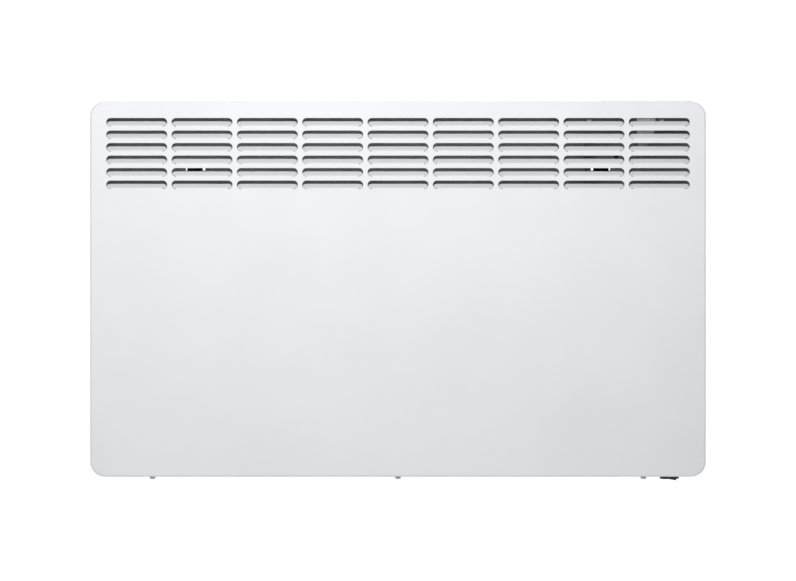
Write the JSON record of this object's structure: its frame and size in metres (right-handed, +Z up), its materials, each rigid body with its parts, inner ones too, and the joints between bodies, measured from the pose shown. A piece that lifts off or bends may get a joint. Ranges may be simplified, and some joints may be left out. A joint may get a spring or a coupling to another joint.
{
  "type": "wall-mounted electric convector heater",
  "caption": "Wall-hung electric panel convector: white pressed-steel casing with an upper louvred outlet, base air intake, finned heating element, top control panel and hook-on wall bracket.",
  "frame": {"origin": "centre of the bracket rail's back face, in the wall plane, at half the casing's width and height", "axes": "+X along the casing to the right as seen from the room, +Y into the wall, +Z up"},
  "size_m": [0.738, 0.1, 0.4555],
  "materials": {
    "white_paint": "satin white powder coat",
    "galvanised": "galvanised sheet",
    "black_paint": "black dip coat",
    "spring_steel": "blued spring steel",
    "zinc_plated": "bright zinc plate",
    "stainless": "satin stainless tube, heat tinted",
    "aluminium": "rolled aluminium sheet",
    "white_plastic": "fine moulded texture",
    "black_plastic": "fine moulded texture",
    "window": "polished smoked window",
    "display": "reflective display cell",
    "circuit_board": "green solder mask",
    "ceramic": "unglazed steatite",
    "ribbon": "ribbed flat cable",
    "wire_brown": "smooth insulation",
    "wire_blue": "smooth insulation",
    "wire_green": "smooth insulation with a yellow stripe",
    "wire_white": "braided glass-fibre sleeve"
  },
  "bodies": {
    "wall_bracket": {"bracket_rail": "black_paint", "bracket_upright_left": "black_paint", "latch_spring_left": "spring_steel", "spring_rivet_left": "zinc_plated", "rail_rivet_left": "zinc_plated", "bracket_upright_right": "black_paint", "latch_spring_right": "spring_steel", "spring_rivet_right": "zinc_plated", "rail_rivet_right": "zinc_plated"},
    "heater": {"front_cover": "white_paint", "rear_panel": "galvanised", "bottom_plate": "white_paint", "cover_screw_left": "zinc_plated", "cover_screw_centre": "zinc_plated", "cover_screw_right": "zinc_plated", "partition_plate": "galvanised", "heating_tube": "stainless", "element_fins": "aluminium", "element_support_left": "galvanised", "element_support_right": "galvanised", "ceramic_bush_left": "ceramic", "ceramic_bush_right": "ceramic", "element_terminal_lower": "ceramic", "element_terminal_upper": "ceramic", "air_guide_front": "galvanised", "rear_reflector": "galvanised", "cutout_strap": "galvanised", "safety_cutout": "black_plastic", "control_housing": "black_plastic", "control_fascia": "white_plastic", "display_window": "window", "display_module": "display", "control_board": "circuit_board", "ribbon_cable": "ribbon", "control_shelf": "galvanised", "power_board": "circuit_board", "relay": "black_plastic", "terminal_block": "white_plastic", "switch_body": "black_plastic", "cable_gland": "black_plastic", "gland_nut": "black_plastic", "earth_screw": "zinc_plated", "sensor_probe": "black_plastic", "sensor_clip": "white_plastic", "mains_live": "wire_brown", "switched_live": "wire_brown", "mains_neutral": "wire_blue", "earth_lead": "wire_green", "element_lead_lower": "wire_white", "cutout_lead": "wire_white", "element_lead_upper": "wire_white", "board_supply_lead": "wire_brown", "sensor_lead": "ribbon"},
    "power_rocker": {"switch_rocker": "black_plastic"},
    "key_plus_body": {"key_plus": "white_plastic"},
    "key_minus_body": {"key_minus": "white_plastic"},
    "key_menu_body": {"key_menu": "white_plastic"},
    "key_confirm_body": {"key_confirm": "white_plastic"}
  },
  "joints": [
    {"name": "lift_off", "type": "slide", "parent": "wall_bracket", "child": "heater", "axis": [0, -0.7071, 0.7071], "range_m": [0, 0.05], "deforming": ["latch_spring_left", "latch_spring_right"]},
    {"name": "power_switch", "type": "hinge", "parent": "heater", "child": "power_rocker", "pos_m": [0.3255, -0.071, -0.225], "axis": [0, -1, 0], "range_deg": [0, 10]},
    {"name": "press_plus", "type": "slide", "parent": "heater", "child": "key_plus_body", "axis": [0, 0, -1], "range_m": [0, 0.0008], "stiffness_N_per_m": 500, "springref_m": -0.0005},
    {"name": "press_minus", "type": "slide", "parent": "heater", "child": "key_minus_body", "axis": [0, 0, -1], "range_m": [0, 0.0008], "stiffness_N_per_m": 500, "springref_m": -0.0005},
    {"name": "press_menu", "type": "slide", "parent": "heater", "child": "key_menu_body", "axis": [0, 0, -1], "range_m": [0, 0.0008], "stiffness_N_per_m": 500, "springref_m": -0.0005},
    {"name": "press_confirm", "type": "slide", "parent": "heater", "child": "key_confirm_body", "axis": [0, 0, -1], "range_m": [0, 0.0008], "stiffness_N_per_m": 500, "springref_m": -0.0005}
  ]
}
